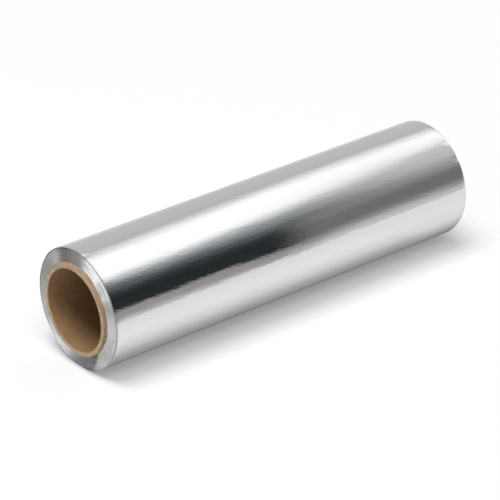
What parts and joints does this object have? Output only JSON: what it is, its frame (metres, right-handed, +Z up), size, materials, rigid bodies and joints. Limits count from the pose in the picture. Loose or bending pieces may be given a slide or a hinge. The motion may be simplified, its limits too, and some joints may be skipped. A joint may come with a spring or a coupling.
{
  "type": "aluminium foil roll",
  "caption": "Wound roll of bright aluminium kitchen foil on an open cardboard core that stands a little past the foil at both ends, lying on its side on a small flat.",
  "frame": {"origin": "on the flat underneath, at the middle of the roll's length", "axes": "+X along the roll, away from the end that the picture shows; +Z up; the roll lies on its side"},
  "size_m": [0.306, 0.0825, 0.0823],
  "materials": {
    "foil": "bright rolled foil, near-mirror along the side, fine turn lines on the ends",
    "cardboard": "matt unbleached paperboard"
  },
  "bodies": {
    "root": {"foil_roll": "foil", "cardboard_core": "cardboard"}
  },
  "joints": []
}
